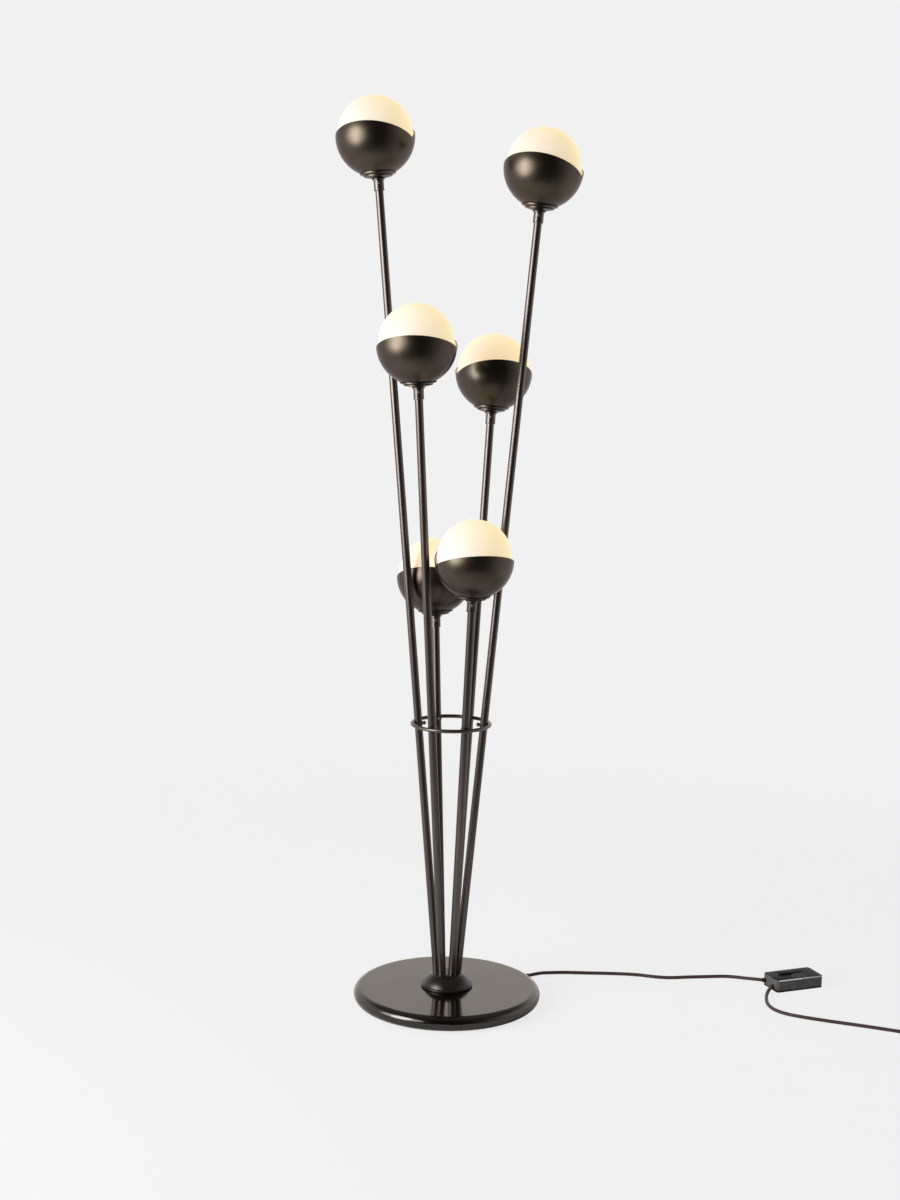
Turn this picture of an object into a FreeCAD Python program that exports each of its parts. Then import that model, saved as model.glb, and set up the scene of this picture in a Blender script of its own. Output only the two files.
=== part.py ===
# Tree floor lamp: six leaning tubes of different heights rise from one round base, tied by a ring,
# and each carries a metal cup with an opal glass globe. A cord runs over the floor to a slide dimmer
# and on to its plug.
#
# Frame: millimetres, +Z up, origin at the centre of the base's resting face, +X to the lamp's right
# as seen from the front, +Y to its back.

import FreeCAD, Part
import math
import os
import re
import Sketcher
from FreeCAD import Placement, Rotation, Vector

doc = FreeCAD.newDocument("TreeFloorLamp")

sizes = {
    # base
    "baseDiameter": 305.0,
    "baseHeight": 25.4,
    "padThickness": 1.5,
    "padInset": 16.0,
    "pocketRadius": 38.0,
    "pocketDepth": 13.0,
    "wireHoleRadius": 22.0,
    "channelWidth": 7.4,
    "channelHeight": 9.3,
    "cordAzimuth": 36.8,
    "cordExitHeight": 7.0,
    # hub
    "hubRadius": 42.0,
    "hubBandHeight": 4.5,
    "hubBandRounding": 1.4,
    "hubStep": 1.5,
    "hubHeight": 22.5,
    "hubTopRadius": 17.0,
    "hubDomeRadius": 30.0,
    "hubSocketFloor": 5.0,
    "hubScrewCircle": 30.0,
    "hubScrewRadius": 2.45,
    "hubScrewHeadRadius": 4.3,
    "hubScrewHeadHeight": 4.0,
    "hubScrewDepth": 9.0,
    "blockMargin": 2.0,
    "blockHeadroom": 2.5,
    # stems
    "stemDiameter": 12.7,
    "stemWall": 1.2,
    "stemFootRadius": 12.7,
    "stemSpread": 0.086,
    "stemTwist": -0.0145,
    "stemStart": 2.5,
    "wireRadius": 1.6,
    "wireOffset": 3.35,
    # heights of the cups' centres, and the way each head's front petal faces
    "tallRightHeight": 1336.0,
    "midBackHeight": 1023.5,
    "lowBackHeight": 693.0,
    "tallLeftHeight": 1383.5,
    "midFrontHeight": 1064.0,
    "lowFrontHeight": 735.5,
    "tallRightTurn": -109.0,
    "midBackTurn": -75.5,
    "lowBackTurn": -103.0,
    "tallLeftTurn": -112.0,
    "midFrontTurn": -98.0,
    "lowFrontTurn": -74.0,
    # binding ring and its screws
    "ringHeight": 462.0,
    "ringRod": 6.0,
    "ringScrewRadius": 1.5,
    "ringScrewDepth": 3.5,
    "ballRadius": 3.3,
    "ballSink": 0.9,
    # cup and the parts under it
    "cupRadius": 62.0,
    "cupWall": 1.2,
    "petalRise": 17.3,
    "notchDrop": 8.0,
    "nippleRadius": 5.0,
    "seatRadius": 28.3,
    "seatEdge": 2.0,
    "seatStepRadius": 22.5,
    "seatStepRise": 2.2,
    "seatStepHeight": 1.5,
    "seatThickness": 2.2,
    "lipRadius": 10.0,
    "lipHeight": 2.5,
    "lipRounding": 1.0,
    "lipSlope": 1.0,
    "collarRadius": 7.95,
    "collarLength": 18.8,
    "beadRadius": 8.4,
    "beadHeight": 1.6,
    "beadRounding": 0.5,
    "stemGrip": 8.8,
    # globe, lampholder and bulb
    "globeWall": 3.0,
    "globeRise": 4.5,
    "globeMouthRadius": 20.0,
    "holderRadius": 13.0,
    "holderFootRadius": 11.0,
    "holderFootHeight": 3.6,
    "holderTop": 28.0,
    "galleryRadius": 26.0,
    "galleryThickness": 2.4,
    "galleryLip": 4.3,
    "socketRadius": 7.0,
    "socketDepth": 14.0,
    "nippleGap": 1.2,
    "nippleBore": 3.2,
    "bulbRadius": 16.0,
    "bulbBaseRadius": 6.6,
    "bulbNeckRadius": 8.5,
    "bulbNeckRise": 2.0,
    "bulbShoulderRadius": 11.5,
    # dimmer
    "dimmerLength": 88.0,
    "dimmerWidth": 46.0,
    "dimmerHeight": 20.5,
    "dimmerWall": 2.0,
    "dimmerPlate": 2.5,
    "dimmerCorner": 3.0,
    "dimmerX": 587.0,
    "dimmerY": 95.0,
    "dimmerTurn": 21.0,
    "grooveLength": 44.0,
    "grooveWidth": 9.4,
    "grooveDepth": 0.9,
    "grooveX": -1.5,
    "grooveY": 6.0,
    "slotWidth": 3.0,
    "sliderLength": 21.0,
    "sliderWidth": 8.6,
    "sliderHeight": 3.2,
    "sliderNeckLength": 9.0,
    "sliderEndGap": 1.0,
    "sliderRibs": 5,
    "furrowWidth": 1.0,
    "furrowDepth": 0.8,
    "gripWidth": 1.7,
    "gripDepth": 1.4,
    "gripPitch": 3.9,
    "gripCount": 10,
    "gripStart": 4.0,
    "spoutRadius": 3.6,
    "spoutReach": 7.0,
    "spoutSplay": 38.0,
    "lampSpoutY": 15.0,
    "lampSpoutZ": 9.0,
    "plugSpoutY": -7.0,
    "plugSpoutZ": 6.3,
    "boardLength": 70.0,
    "boardWidth": 34.0,
    "boardThickness": 1.6,
    "boardPost": 4.0,
    "postInset": 4.0,
    "postWidth": 4.0,
    "potLength": 34.0,
    "potWidth": 8.0,
    "potHeadroom": 1.2,
    "chokeLength": 17.0,
    "chokeWidth": 10.0,
    "chokeInset": 2.0,
    "chokeShare": 0.7,
    # cord, coil and plug
    "cordDiameter": 5.8,
    "bushLength": 47.0,
    "bushReach": 22.0,
    "bushRadius": 4.8,
    "bushTipRadius": 3.4,
    "bushShoulder": 3.0,
    "bushLeadStraight": 22.0,
    "lampLeadStraight": 14.0,
    "plugLeadStraight": 11.0,
    "coilLeadStraight": 16.0,
    "coilX": 789.7,
    "coilY": -93.2,
    "coilStart": -100.0,
    "coilOuterRadius": 44.5,
    "coilTurnsIn": 3.75,
    "coilTurnsOut": 4.028,
    "coilPitch": 6.4,
    "coilRise": 6.3,
    "coilClimbInset": 1.3,
    "plugNeckLength": 26.0,
    "plugNeckRadius": 5.2,
    "plugNeckLip": 0.5,
    "plugNeckRoot": 4.0,
    "plugLength": 27.0,
    "plugWidth": 21.6,
    "plugHeight": 18.4,
    "plugRounding": 4.0,
    "bladeLength": 17.5,
    "bladeRoot": 5.0,
    "bladeWidth": 6.35,
    "bladeThickness": 1.5,
    "bladeSpacing": 12.7,
    # clearances
    "restGap": 0.3,
    "slipGap": 0.1,
    "screwGap": 0.25,
}

sheet = doc.addObject("Spreadsheet::Sheet", "Sizes")
for row, (word, size) in enumerate(sizes.items(), start=1):
    sheet.set(f"A{row}", word)
    sheet.set(f"B{row}", str(size))
    sheet.setAlias(f"B{row}", word)
doc.recompute()


# ---- small helpers that tie shapes to the sheet ----

def inSheet(formula):
    # the formula with each size's name pointing into the sheet
    return re.sub(r"[A-Za-z]\w*", lambda m: ("Sizes." if m[0] in sizes else "") + m[0], formula)


def amount(formula):
    # the formula's present value
    return float(sheet.evalExpression(formula))


def bind(item, **formulas):
    for name, formula in formulas.items():
        item.setExpression(name.replace("_", "."), inSheet(formula))
    return item


def arcBetween(start, end, radius):
    # the shorter arc from start to end, bending left for a positive radius and right for a negative
    chord = end - start
    side = Vector(-chord.y, chord.x, 0).normalize() * math.copysign(1, radius)
    centre = (start + end) / 2 + side * math.sqrt(radius ** 2 - (chord.Length / 2) ** 2)
    first, last = (start, end) if radius > 0 else (end, start)
    angles = [math.atan2(p.y - centre.y, p.x - centre.x) for p in (first, last)]
    if angles[1] < angles[0]:
        angles[1] += 2 * math.pi
    return Part.ArcOfCircle(Part.Circle(centre, Vector(0, 0, 1), abs(radius)), *angles)


def outline(body, planeRole, corners, height="0"):
    # a closed outline on one of the body's own planes. A corner is (across, up), with a third
    # formula where an arc of that radius leads on to the next corner
    sketch = body.newObject("Sketcher::SketchObject", "Outline")
    plane = [f for f in body.Origin.OriginFeatures if f.Role == planeRole][0]
    sketch.AttachmentSupport = [(plane, "")]
    sketch.MapMode = "FlatFace"
    if height != "0":
        bind(sketch, AttachmentOffset_Base_z=height)
    points = [Vector(amount(c[0]), amount(c[1]), 0) for c in corners]
    ends = []
    for i, corner in enumerate(corners):
        start, end = points[i], points[(i + 1) % len(points)]
        radius = amount(corner[2]) if len(corner) == 3 else 0
        edge = arcBetween(start, end, radius) if radius else Part.LineSegment(start, end)
        sketch.addGeometry(edge, False)
        ends.append((2, 1) if radius < 0 else (1, 2))
    for i, corner in enumerate(corners):
        following = (i + 1) % len(corners)
        sketch.addConstraint(Sketcher.Constraint("Coincident", i, ends[i][1], following, ends[following][0]))
        for kind, axis, formula in (("DistanceX", -2, corner[0]), ("DistanceY", -1, corner[1])):
            if formula == "0":
                sketch.addConstraint(Sketcher.Constraint("PointOnObject", i, ends[i][0], axis))
            else:
                place = sketch.addConstraint(
                    Sketcher.Constraint(kind, -1, 1, i, ends[i][0], amount(formula)))
                sketch.setExpression(f"Constraints[{place}]", inSheet(formula))
        if len(corner) == 3:
            place = sketch.addConstraint(Sketcher.Constraint("Radius", i, abs(amount(corner[2]))))
            sketch.setExpression(f"Constraints[{place}]", inSheet(f"abs({corner[2]})"))
    return sketch


def newBody(label, placement=Placement()):
    body = doc.addObject("PartDesign::Body", label)
    body.Label = label
    body.Placement = placement
    return body


def revolved(label, corners, placement=Placement()):
    # a piece turned about its own Z axis, from an outline in its XZ plane
    body = newBody(label, placement)
    turning = body.newObject("PartDesign::Revolution", "Turning")
    turning.Profile = outline(body, "XZ_Plane", corners)
    turning.ReferenceAxis = (turning.Profile[0], ["V_Axis"])
    turning.Angle = 360
    turning.Profile[0].Visibility = False
    return body


def padded(body, corners, length, height="0"):
    pad = body.newObject("PartDesign::Pad", "Pad")
    pad.Profile = outline(body, "XY_Plane", corners, height)
    return bind(pad, Length=length)


def pocketed(body, corners, depth, height):
    # a pocket that goes down from the given height
    pocket = body.newObject("PartDesign::Pocket", "Pocket")
    pocket.Profile = outline(body, "XY_Plane", corners, height)
    return bind(pocket, Length=depth)


def rectangle(left, right, front, back):
    return [(left, front), (right, front), (right, back), (left, back)]


def cylinder(name, radius, length, placement=Placement()):
    rod = doc.addObject("Part::Cylinder", name)
    rod.Placement = placement
    return bind(rod, Radius=radius, Height=length)


def block(name, length, width, height, placement=Placement()):
    box = doc.addObject("Part::Box", name)
    box.Placement = placement
    return bind(box, Length=length, Width=width, Height=height)


def together(name, pieces, kind="Part::MultiFuse"):
    group = doc.addObject(kind, name)
    if kind == "Part::Compound":
        group.Links = pieces
    else:
        group.Shapes = pieces
    return group


def cut(name, solid, tools):
    carved = doc.addObject("Part::Cut", name)
    carved.Base = solid
    carved.Tool = together(name + "Cuts", tools) if len(tools) > 1 else tools[0]
    return carved


def along(point, direction, side=Vector(0, 0, 1)):
    # a frame at the point with its Z axis along the direction and its X axis kept near the side
    return Placement(point, Rotation(side.cross(direction).cross(direction) * -1, Vector(), direction, "ZXY"))


finished = []


def keep(piece, label=None):
    if label:
        piece.Label = label
    finished.append(piece)
    return piece


# ---- where things stand ----

baseTop = amount("baseHeight")
stemRadius = "stemDiameter / 2"
stemBore = "(stemDiameter / 2 - stemWall)"
cordRadius = "cordDiameter / 2"
stemOrder = ["tall_right", "mid_back", "low_back", "tall_left", "mid_front", "low_front"]
sizeWord = {
    "tall_right": "tallRight", "mid_back": "midBack", "low_back": "lowBack",
    "tall_left": "tallLeft", "mid_front": "midFront", "low_front": "lowFront",
}


def polar(radius, degrees, height=0.0):
    angle = math.radians(degrees)
    return Vector(radius * math.cos(angle), radius * math.sin(angle), height)


def stemPoint(index, height):
    # the stem's centre line at a height: it leans outwards, with a slight common twist
    azimuth = amount("stemStart") + index * 360 / len(stemOrder)
    outward = polar(amount("stemFootRadius") + amount("stemSpread") * height, azimuth)
    sideways = polar(amount("stemTwist") * height, azimuth + 90)
    return outward + sideways + Vector(0, 0, height)


# how far one travels along a stem for each millimetre of height
stemStretch = "sqrt(1 + stemSpread^2 + stemTwist^2)"


# ---- base ----

edgeRound = "((baseHeight - padThickness) / 2)"
flatRadius = f"baseDiameter / 2 - {edgeRound}"
baseBlank = revolved("base_blank", [
    ("0", "padThickness"),
    (flatRadius, "padThickness", edgeRound),
    ("baseDiameter / 2", f"padThickness + {edgeRound}", edgeRound),
    (flatRadius, "baseHeight"),
    ("0", "baseHeight"),
])
padTop = Vector(0, 0, amount("padThickness"))
cordTurn = Rotation(Vector(0, 0, 1), amount("cordAzimuth"))
channel = block("CordChannel", "baseDiameter", "channelWidth", "channelHeight",
                Placement(padTop + cordTurn * Vector(0, -amount("channelWidth") / 2, 0), cordTurn))
hubScrewAngles = [90, 210, 330]
pocketTop = amount("padThickness + pocketDepth")
baseTools = [
    cylinder("BasePocket", "pocketRadius", "pocketDepth", Placement(padTop, Rotation())),
    cylinder("BaseWireHole", "wireHoleRadius", "baseHeight"),
    channel,
]
for angle in hubScrewAngles:
    spot = Placement(polar(amount("hubScrewCircle"), angle), Rotation())
    baseTools.append(cylinder("BaseScrewHole", "hubScrewRadius + screwGap", "baseHeight", spot))
keep(cut("BaseDisc", baseBlank, baseTools), "base_disc")
keep(cylinder("BasePad", "baseDiameter / 2 - padInset", "padThickness"), "base_pad")
blockRadius = "(wireHoleRadius - blockMargin)"
keep(cylinder("TerminalBlock", blockRadius, "pocketDepth - blockHeadroom", Placement(padTop, Rotation())),
     "terminal_block")


# ---- hub ----

onBase = Placement(Vector(0, 0, baseTop), Rotation())
hubBlank = revolved("hub_blank", [
    ("0", "0"),
    ("hubRadius - hubBandRounding", "0", "hubBandRounding"),
    ("hubRadius", "hubBandRounding"),
    ("hubRadius", "hubBandHeight - hubBandRounding", "hubBandRounding"),
    ("hubRadius - hubBandRounding", "hubBandHeight"),
    ("hubRadius - hubBandRounding - hubStep", "hubBandHeight", "hubDomeRadius"),
    ("hubTopRadius", "hubHeight"),
    ("0", "hubHeight"),
], onBase)

socketBottom = "(baseHeight + hubSocketFloor)"
stemFrames = {}
hubTools = []
for index, head in enumerate(stemOrder):
    height = amount(sizeWord[head] + "Height")
    centre = stemPoint(index, height)
    upward = (centre - stemPoint(index, 0)).normalize()
    front = polar(1, amount(sizeWord[head] + "Turn"))
    # Z along the stem, Y to the front petal, X along the line through both notches
    frame = Placement(centre, Rotation(front.cross(upward), Vector(), upward, "ZXY"))
    stemFrames[head] = frame
    foot = stemPoint(index, amount(socketBottom))
    hubTools.append(cylinder("StemSocket", f"{stemRadius} + slipGap / 2", "hubHeight * 2",
                             Placement(foot, frame.Rotation)))
    under = stemPoint(index, pocketTop)
    hubTools.append(cylinder("WirePassage", stemBore, "hubHeight", Placement(under, frame.Rotation)))
for angle in hubScrewAngles:
    spot = Placement(polar(amount("hubScrewCircle"), angle, baseTop), Rotation())
    hubTools.append(cylinder("HubScrewHole", "hubScrewRadius + slipGap / 2", "hubScrewDepth", spot))
keep(cut("Hub", hubBlank, hubTools), "hub")

hubScrews = []
for angle in hubScrewAngles:
    seat = polar(amount("hubScrewCircle"), angle, pocketTop)
    shank = cylinder("HubScrewShank", "hubScrewRadius",
                     "baseHeight - padThickness - pocketDepth + hubScrewDepth - restGap",
                     Placement(seat, Rotation()))
    headSpot = seat - Vector(0, 0, amount("hubScrewHeadHeight"))
    cap = cylinder("HubScrewCap", "hubScrewHeadRadius", "hubScrewHeadHeight", Placement(headSpot, Rotation()))
    hubScrews.append(together("HubScrew", [shank, cap]))
keep(together("HubScrews", hubScrews, "Part::Compound"), "hub_screws")


# ---- stems, their wires, and the ring that ties them ----

seatBottom = "(cupRadius + seatThickness)"
shoulderDrop = f"({seatBottom} + collarLength - stemGrip)"
stemTopDrop = f"({shoulderDrop} + restGap)"
stemCircle = "sqrt((stemFootRadius + stemSpread * ringHeight)^2 + (stemTwist * ringHeight)^2)"
wires = []
ringHoles = []
ringScrews = []
for index, head in enumerate(stemOrder):
    frame = stemFrames[head]
    length = f"(({sizeWord[head]}Height - {socketBottom}) * {stemStretch} - {stemTopDrop})"
    foot = stemPoint(index, amount(socketBottom))
    tube = cylinder("StemTube", stemRadius, length, Placement(foot, frame.Rotation))
    bore = cylinder("StemBore", stemBore, length, Placement(foot, frame.Rotation))

    crossing = stemPoint(index, amount("ringHeight"))
    outward = Vector(crossing.x, crossing.y, 0).normalize()
    radial = along(crossing - outward * amount("stemDiameter"), outward)
    screwHole = cylinder("StemScrewHole", "ringScrewRadius + slipGap", "stemDiameter * 2", radial)
    keep(cut("Stem", tube, [bore, screwHole]), "stem_" + head)

    # a ball-headed screw goes through the stem from the inner side into the ring
    ballCentre = crossing - outward * amount(f"{stemRadius} + ballRadius - ballSink + restGap")
    ball = doc.addObject("Part::Sphere", "BallHead")
    ball.Placement = Placement(ballCentre, Rotation())
    bind(ball, Radius="ballRadius")
    # the ball is flat where it bears on the stem
    flat = block("BallFlat", "ballRadius * 2", "ballRadius * 2", "ballRadius",
                 along(ballCentre + outward * amount("ballRadius - ballSink"), outward))
    centring = Vector(-amount("ballRadius"), -amount("ballRadius"), 0)
    flat.Placement = flat.Placement.multiply(Placement(centring, Rotation()))
    ballHead = cut("BallCap", ball, [flat])
    shankLength = "stemDiameter + ballRadius - ballSink + restGap + ringScrewDepth"
    shank = cylinder("RingScrewShank", "ringScrewRadius", shankLength, along(ballCentre, outward))
    ringScrews.append(together("RingScrew", [ballHead, shank]))
    ringHoles.append(cylinder("RingHole", "ringScrewRadius + slipGap / 2",
                              "ringRod / 2 + ringScrewDepth + restGap",
                              along(crossing + outward * amount(f"{stemRadius} - ringRod / 2"), outward)))

    # the wire runs beside the screw, on the side away from it, from the block to the stem's top
    wireFoot = stemPoint(index, amount("padThickness + pocketDepth - blockHeadroom + restGap + slipGap * 2"))
    aside = outward.cross(Vector(0, 0, 1)) * amount("wireOffset")
    wireLength = f"{length} + ({socketBottom} - padThickness - pocketDepth) * {stemStretch}"
    wires.append(cylinder("StemWire", "wireRadius", wireLength, Placement(wireFoot + aside, frame.Rotation)))

ring = doc.addObject("Part::Torus", "RingRod")
ring.Placement = Placement(Vector(0, 0, amount("ringHeight")), Rotation())
bind(ring, Radius1=f"{stemCircle} + {stemRadius} + restGap + ringRod / 2", Radius2="ringRod / 2")
keep(cut("TieRing", ring, ringHoles), "tie_ring")
keep(together("TieRingScrews", ringScrews, "Part::Compound"), "tie_ring_screws")

# the cord's inner end, from the terminal block along the channel to the bush
outAlongCord = cordTurn * Vector(1, 0, 0)
blockSide = amount(f"{blockRadius} + restGap")
bushStart = "(baseDiameter / 2 + bushReach - bushLength)"
innerLead = cylinder("InnerLead", cordRadius, f"{bushStart} - {blockRadius} - restGap * 2",
                     along(outAlongCord * blockSide + Vector(0, 0, amount("cordExitHeight")), outAlongCord))
keep(together("InnerWires", wires + [innerLead], "Part::Compound"), "inner_wires")

bushFrame = along(outAlongCord * amount(bushStart) + Vector(0, 0, amount("cordExitHeight")), outAlongCord)
bushOutside = "(bushLength - bushReach)"
keep(revolved("cord_bush", [
    ("0", "0"),
    ("channelWidth / 2 - slipGap", "0"),
    ("channelWidth / 2 - slipGap", bushOutside),
    ("bushRadius", bushOutside),
    ("bushRadius", f"{bushOutside} + bushShoulder"),
    ("bushTipRadius", "bushLength"),
    ("0", "bushLength"),
], bushFrame))


# ---- heads: each turns on its stem, and its globe lifts off ----

cupInner = "(cupRadius - cupWall)"
nippleHole = "(nippleRadius + restGap)"
cupCover = "(petalRise * 2)"
hugRadius = "(cupRadius + slipGap * 2)"
petalReach = "sqrt(cupRadius^2 - petalRise^2)"
notchSlope = f"(petalRise + notchDrop) / {petalReach}"
cutReach = "(cupRadius + petalRise)"
# the globe just passes between the petals' tips as it lifts out
globeRadius = f"(sqrt({cupInner}^2 - petalRise^2) - restGap)"
globeInner = f"({globeRadius} - globeWall)"
globeBottom = f"(globeRise - sqrt({globeRadius}^2 - globeMouthRadius^2))"
galleryTop = f"({globeBottom} - restGap)"
holderFoot = f"(-sqrt({cupInner}^2 - holderFootRadius^2) + slipGap * 2)"
socketFloor = "(-holderTop - socketDepth)"
nippleEnd = f"(nippleGap - {shoulderDrop})"

for head in stemOrder:
    frame = stemFrames[head]

    cup = revolved("cup_" + head, [
        (nippleHole, f"-sqrt(cupRadius^2 - {nippleHole}^2)", "cupRadius"),
        (f"sqrt(cupRadius^2 - {cupCover}^2)", cupCover),
        (f"sqrt({cupInner}^2 - {cupCover}^2)", cupCover, f"-{cupInner}"),
        (nippleHole, f"-sqrt({cupInner}^2 - {nippleHole}^2)"),
    ], frame)
    # a V cut straight across leaves a petal at the front and one at the back
    notches = cup.newObject("PartDesign::Pocket", "Notches")
    notches.Profile = outline(cup, "YZ_Plane", [
        ("0", "-notchDrop"),
        (cutReach, f"-notchDrop + {cutReach} * {notchSlope}"),
        (cutReach, "cupRadius"),
        (f"-{cutReach}", "cupRadius"),
        (f"-{cutReach}", f"-notchDrop + {cutReach} * {notchSlope}"),
    ])
    notches.Midplane = True
    bind(notches, Length=f"{cutReach} * 2")
    keep(cup)

    keep(revolved("cup_seat_" + head, [
        (nippleHole, f"-sqrt({hugRadius}^2 - {nippleHole}^2)", hugRadius),
        ("seatRadius", f"-sqrt({hugRadius}^2 - seatRadius^2)"),
        ("seatRadius", f"-sqrt({hugRadius}^2 - seatRadius^2) - seatEdge"),
        ("seatStepRadius", "-cupRadius + seatStepRise"),
        ("seatStepRadius", "-cupRadius + seatStepRise - seatStepHeight"),
        ("lipRadius + lipRounding", f"-{seatBottom}"),
        (nippleHole, f"-{seatBottom}"),
    ], frame))

    collarBottom = f"(-{seatBottom} - collarLength)"
    keep(revolved("collar_" + head, [
        (nippleHole, f"-{seatBottom}"),
        ("lipRadius - lipRounding", f"-{seatBottom}", "-lipRounding"),
        ("lipRadius", f"-{seatBottom} - lipRounding"),
        ("lipRadius", f"-{seatBottom} - lipHeight + lipSlope / 2"),
        ("collarRadius", f"-{seatBottom} - lipHeight - lipSlope / 2"),
        ("collarRadius", f"{collarBottom} + beadHeight"),
        ("beadRadius", f"{collarBottom} + beadHeight"),
        ("beadRadius", f"{collarBottom} + beadRounding"),
        ("beadRadius - beadRounding", collarBottom),
        (f"{stemRadius} + slipGap", collarBottom),
        (f"{stemRadius} + slipGap", f"-{shoulderDrop}"),
        (nippleHole, f"-{shoulderDrop}"),
    ], frame))

    keep(revolved("lampholder_" + head, [
        ("nippleBore", nippleEnd),
        ("nippleRadius", nippleEnd),
        ("nippleRadius", holderFoot),
        ("holderFootRadius", holderFoot),
        ("holderFootRadius", f"{holderFoot} + holderFootHeight"),
        ("holderRadius", f"{galleryTop} - galleryThickness"),
        ("galleryRadius", f"{galleryTop} - galleryThickness"),
        ("galleryRadius", galleryTop),
        ("globeMouthRadius - restGap * 2", galleryTop),
        ("globeMouthRadius - restGap * 2", f"{galleryTop} + galleryLip"),
        ("holderRadius", f"{galleryTop} + galleryLip"),
        ("holderRadius", "-holderTop"),
        ("socketRadius", "-holderTop"),
        ("socketRadius", socketFloor),
        ("nippleBore", socketFloor),
    ], frame))

    bulbShoulder = "-sqrt(bulbRadius^2 - bulbShoulderRadius^2)"
    keep(revolved("bulb_" + head, [
        ("0", f"{socketFloor} + restGap"),
        ("bulbBaseRadius", f"{socketFloor} + restGap"),
        ("bulbBaseRadius", "-holderTop + restGap"),
        ("bulbNeckRadius", "-holderTop + bulbNeckRise"),
        ("bulbShoulderRadius", bulbShoulder, "bulbRadius"),
        ("0", "bulbRadius"),
    ], frame))

    keep(revolved("globe_" + head, [
        ("globeMouthRadius", globeBottom, globeRadius),
        ("0", f"globeRise + {globeRadius}"),
        ("0", f"globeRise + {globeInner}", f"-{globeInner}"),
        ("globeMouthRadius", f"globeRise - sqrt({globeInner}^2 - globeMouthRadius^2)"),
    ], frame))


# ---- slide dimmer on the cord ----

dimmerFrame = Placement(Vector(amount("dimmerX"), amount("dimmerY"), 0),
                        Rotation(Vector(0, 0, 1), amount("dimmerTurn")))


def dimmerOutline(inset):
    # the box's plan with its four corners cut, drawn in by the inset
    x, y = f"(dimmerLength / 2 - {inset})", f"(dimmerWidth / 2 - {inset})"
    nip = f"(dimmerCorner - {inset} * (2 - sqrt(2)))"
    return [
        (f"-{x} + {nip}", f"-{y}"), (f"{x} - {nip}", f"-{y}"), (x, f"-{y} + {nip}"), (x, f"{y} - {nip}"),
        (f"{x} - {nip}", y), (f"-{x} + {nip}", y), (f"-{x}", f"{y} - {nip}"), (f"-{x}", f"-{y} + {nip}"),
    ]


boardUnder = "(dimmerPlate + boardPost)"
plate = newBody("dimmer_base", dimmerFrame)
padded(plate, dimmerOutline("0"), "dimmerPlate")
for across in ("-1", "1"):
    for back in ("-1", "1"):
        x, y = f"{across} * (boardLength / 2 - postInset)", f"{back} * (boardWidth / 2 - postInset)"
        padded(plate, rectangle(f"{x} - postWidth / 2", f"{x} + postWidth / 2",
                                f"{y} - postWidth / 2", f"{y} + postWidth / 2"), boardUnder)
keep(plate)

board = newBody("dimmer_board", dimmerFrame)
padded(board, rectangle("-boardLength / 2", "boardLength / 2", "-boardWidth / 2", "boardWidth / 2"),
       "boardThickness", f"{boardUnder} + slipGap")
boardTop = f"({boardUnder} + slipGap + boardThickness)"
grooveFloor = "(dimmerHeight - grooveDepth)"
potTop = f"({grooveFloor} - dimmerWall - potHeadroom)"
padded(board, rectangle("grooveX - potLength / 2", "grooveX + potLength / 2",
                        "grooveY - potWidth / 2", "grooveY + potWidth / 2"),
       f"{potTop} - {boardTop}", boardTop)
padded(board, rectangle("-chokeLength", "0", "-boardWidth / 2 + chokeInset",
                        "-boardWidth / 2 + chokeInset + chokeWidth"),
       f"({potTop} - {boardTop}) * chokeShare", boardTop)
keep(board)

shell = newBody("dimmer_shell", dimmerFrame)
padded(shell, dimmerOutline("0"), "dimmerHeight - dimmerPlate", "dimmerPlate")
pocketed(shell, dimmerOutline("dimmerWall"), f"{grooveFloor} - dimmerWall - dimmerPlate",
         f"{grooveFloor} - dimmerWall")
pocketed(shell, rectangle("grooveX - grooveLength / 2", "grooveX + grooveLength / 2",
                          "grooveY - grooveWidth / 2", "grooveY + grooveWidth / 2"),
         "grooveDepth", "dimmerHeight")
slotHalf = "(grooveLength / 2 - (sliderLength - sliderNeckLength) / 2)"
pocketed(shell, rectangle(f"grooveX - {slotHalf}", f"grooveX + {slotHalf}",
                          "grooveY - slotWidth / 2", "grooveY + slotWidth / 2"),
         "dimmerWall * 2", "dimmerHeight")
# finger grips notched into the front top edge of the right half
grip = pocketed(shell, rectangle("gripStart", "gripStart + gripWidth",
                                 "-dimmerWidth / 2 - gripDepth", "-dimmerWidth / 2 + gripDepth"),
                "gripDepth", "dimmerHeight")
grips = shell.newObject("PartDesign::LinearPattern", "Grips")
grips.Originals = [grip]
grips.Direction = (grip.Profile[0], ["H_Axis"])
grips.Mode = "Spacing"
bind(grips, Offset="gripPitch", Occurrences="gripCount")
shell.Tip = grips

endX = -amount("dimmerLength") / 2


def spoutFrame(y, z, degrees):
    # a cord spout's axis, in the dimmer's own frame: it starts inside the left end's wall
    direction = polar(1, degrees)
    return dimmerFrame.multiply(along(Vector(endX + amount("dimmerWall") / 2, y, z), direction))


lampSpout = spoutFrame(amount("lampSpoutY"), amount("lampSpoutZ"), 180 - amount("spoutSplay"))
plugSpout = spoutFrame(amount("plugSpoutY"), amount("plugSpoutZ"), 180 + amount("spoutSplay"))
spouts = [cylinder("CordSpout", "spoutRadius", "spoutReach", place) for place in (lampSpout, plugSpout)]
keep(together("DimmerCover", [shell] + spouts), "dimmer_cover")

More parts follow.
